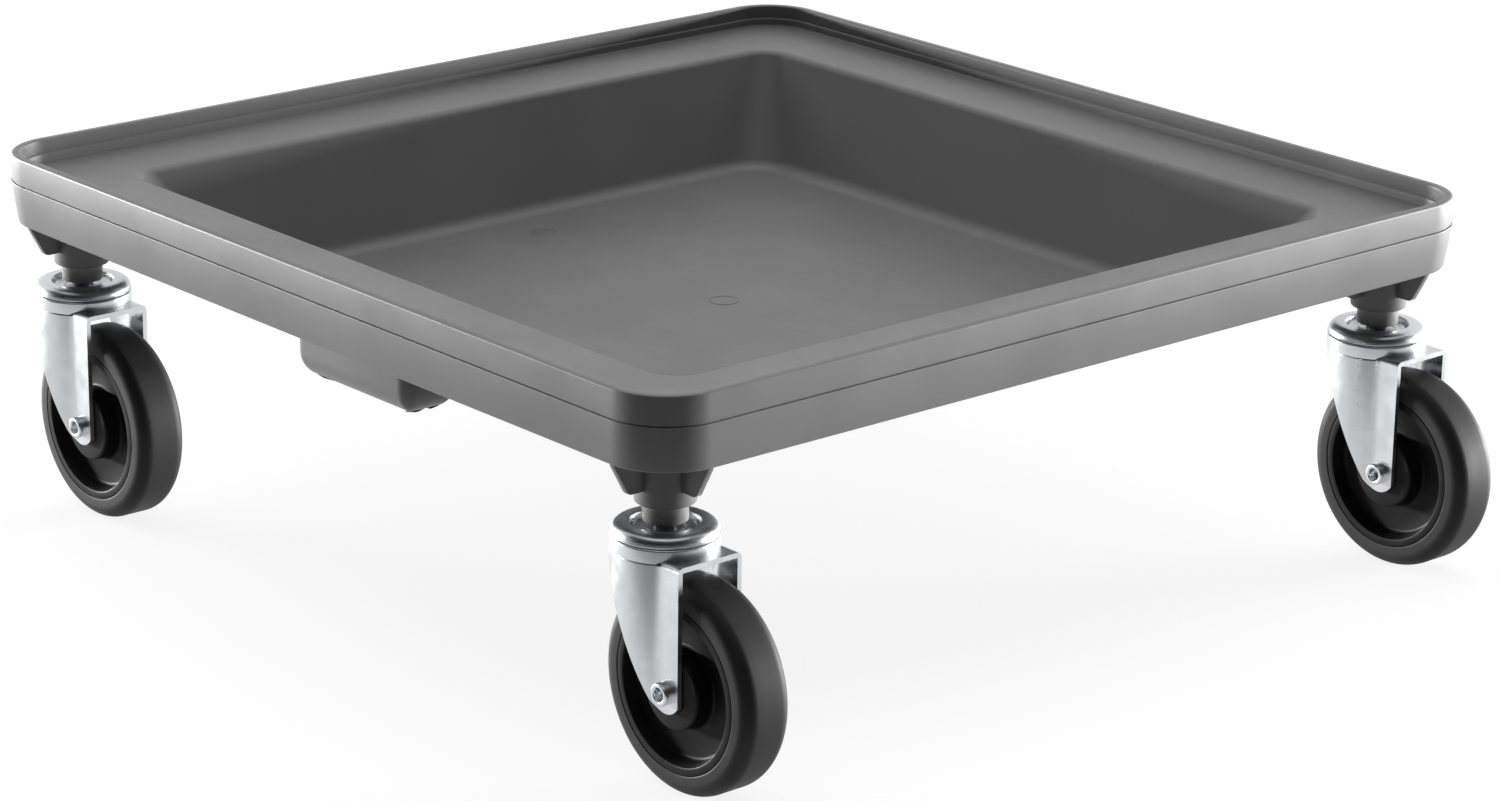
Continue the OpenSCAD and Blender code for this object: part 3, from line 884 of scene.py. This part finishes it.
def studio_floor():
    """A wide floor that looks white, keeps the shadow and shows bright in metal."""
    bm = bmesh.new()
    bmesh.ops.create_circle(bm, cap_ends=True, radius=FLOOR_R, segments=96)
    mesh = bpy.data.meshes.new("floor")
    bm.to_mesh(mesh)
    bm.free()
    ob = bpy.data.objects.new("floor", mesh)
    bpy.context.scene.collection.objects.link(ob)
    material = bpy.data.materials.new("pale floor")
    material.use_nodes = True
    tree = material.node_tree
    shader = tree.nodes["Principled BSDF"]
    shader.inputs["Roughness"].default_value = 0.9
    shader.inputs["Specular IOR Level"].default_value = 0.0
    glow = tree.nodes.new("ShaderNodeEmission")
    glow.inputs["Strength"].default_value = FLOOR_GLOW
    path = tree.nodes.new("ShaderNodeLightPath")
    # Pale to the camera, darker to the object, whose front corner gets little light.
    tone = tree.nodes.new("ShaderNodeMix")
    tone.data_type = "RGBA"
    tone.inputs[6].default_value = FLOOR_TO_OBJECT
    tone.inputs[7].default_value = FLOOR_TO_CAMERA
    tree.links.new(path.outputs["Is Camera Ray"], tone.inputs["Factor"])
    tree.links.new(tone.outputs[2], shader.inputs["Base Color"])
    # Metal mirrors a bright floor, except where it lies in front of the object.
    fade = soft_fade(tree, turned_axes(tree, "Object")["Y"], *MIRROR_FADE, GLOW_TO_MIRRORS)
    mirrored = combine(tree, "MULTIPLY", path.outputs["Is Glossy Ray"], fade)
    share = combine(tree, "MULTIPLY_ADD", path.outputs["Is Camera Ray"], GLOW_TO_CAMERA, mirrored)
    mix = tree.nodes.new("ShaderNodeMixShader")
    tree.links.new(share, mix.inputs[0])
    tree.links.new(shader.outputs[0], mix.inputs[1])
    tree.links.new(glow.outputs[0], mix.inputs[2])
    tree.links.new(mix.outputs[0], tree.nodes["Material Output"].inputs["Surface"])
    mesh.materials.append(material)


# ---- operators ----

class DollyOperator:
    bl_options = {"REGISTER", "UNDO"}

    def execute(self, context):
        self.make()
        return {"FINISHED"}


class DOLLY_OT_tray(DollyOperator, bpy.types.Operator):
    """Model the one-piece tray with its rim, ledge, basin and skirt"""
    bl_idname = "dolly.tray"
    bl_label = "Tray moulding"

    def make(self):
        tray_shell()


class DOLLY_OT_sockets(DollyOperator, bpy.types.Operator):
    """Model the four caster sockets with their ribs"""
    bl_idname = "dolly.sockets"
    bl_label = "Caster sockets"

    def make(self):
        for corner in CORNERS:
            socket(corner)


class DOLLY_OT_housing(DollyOperator, bpy.types.Operator):
    """Model the round-bottomed housing under one side"""
    bl_idname = "dolly.housing"
    bl_label = "Side housing"

    def make(self):
        housing()


class DOLLY_OT_marks(DollyOperator, bpy.types.Operator):
    """Model the moulding marks on the basin's floor"""
    bl_idname = "dolly.marks"
    bl_label = "Floor marks"

    def make(self):
        floor_marks()


class DOLLY_OT_swivels(DollyOperator, bpy.types.Operator):
    """Model the sleeves, caps, raceways and forks of the casters"""
    bl_idname = "dolly.swivels"
    bl_label = "Swivels and forks"

    def make(self):
        for corner in CORNERS:
            sleeve(corner)
            cap(corner)
            race_drum(corner)
            fork(corner)
            axle(corner)


class DOLLY_OT_wheels(DollyOperator, bpy.types.Operator):
    """Model the hubs and tyres of the four wheels"""
    bl_idname = "dolly.wheels"
    bl_label = "Wheels"

    def make(self):
        for corner in CORNERS:
            wheel_core(corner)
            tyre(corner)


class DOLLY_OT_inner_metal(DollyOperator, bpy.types.Operator):
    """Finish the stems, balls, rings and bushes inside the casters"""
    bl_idname = "dolly.inner_metal"
    bl_label = "Inner metal"

    def make(self):
        inner_metal()


class DOLLY_OT_stage(DollyOperator, bpy.types.Operator):
    """Set up the camera, the floor and the soft studio light"""
    bl_idname = "dolly.stage"
    bl_label = "Studio"

    def make(self):
        camera()
        studio_world()
        studio_floor()
        lights = bpy.context.scene.dolly_lights
        side_panel("left panel", -1, LEFT_PANEL_TURN, lights.left_panel)
        side_panel("right panel", 1, RIGHT_PANEL_TURN, lights.right_panel)
        bpy.context.scene.view_settings.view_transform = "Standard"


class DOLLY_PT_panel(bpy.types.Panel):
    bl_label = "Rack dolly"
    bl_idname = "DOLLY_PT_panel"
    bl_space_type = "VIEW_3D"
    bl_region_type = "UI"
    bl_category = "Dolly"

    def draw(self, context):
        for operator in OPERATORS:
            self.layout.operator(operator.bl_idname)
        for group in ("dolly_tray", "dolly_casters", "dolly_finishes", "dolly_lights"):
            box = self.layout.box()
            settings = getattr(context.scene, group)
            for name in settings.__annotations__:
                box.prop(settings, name)


OPERATORS = (
    DOLLY_OT_stage, DOLLY_OT_tray, DOLLY_OT_sockets, DOLLY_OT_housing, DOLLY_OT_marks,
    DOLLY_OT_swivels, DOLLY_OT_wheels, DOLLY_OT_inner_metal,
)
CLASSES = (DollyTraySizes, DollyCasterSizes, DollyFinishes, DollyLights, *OPERATORS, DOLLY_PT_panel)


def register():
    for cls in CLASSES:
        bpy.utils.register_class(cls)
    bpy.types.Scene.dolly_tray = PointerProperty(type=DollyTraySizes)
    bpy.types.Scene.dolly_casters = PointerProperty(type=DollyCasterSizes)
    bpy.types.Scene.dolly_finishes = PointerProperty(type=DollyFinishes)
    bpy.types.Scene.dolly_lights = PointerProperty(type=DollyLights)


def unregister():
    del bpy.types.Scene.dolly_tray
    del bpy.types.Scene.dolly_casters
    del bpy.types.Scene.dolly_finishes
    del bpy.types.Scene.dolly_lights
    for cls in reversed(CLASSES):
        bpy.utils.unregister_class(cls)


def main():
    register()
    bpy.ops.dolly.stage()
    bpy.ops.dolly.tray()
    bpy.ops.dolly.sockets()
    bpy.ops.dolly.housing()
    bpy.ops.dolly.marks()
    bpy.ops.dolly.swivels()
    bpy.ops.dolly.wheels()
    bpy.ops.dolly.inner_metal()


if __name__ == "__main__":
    main()
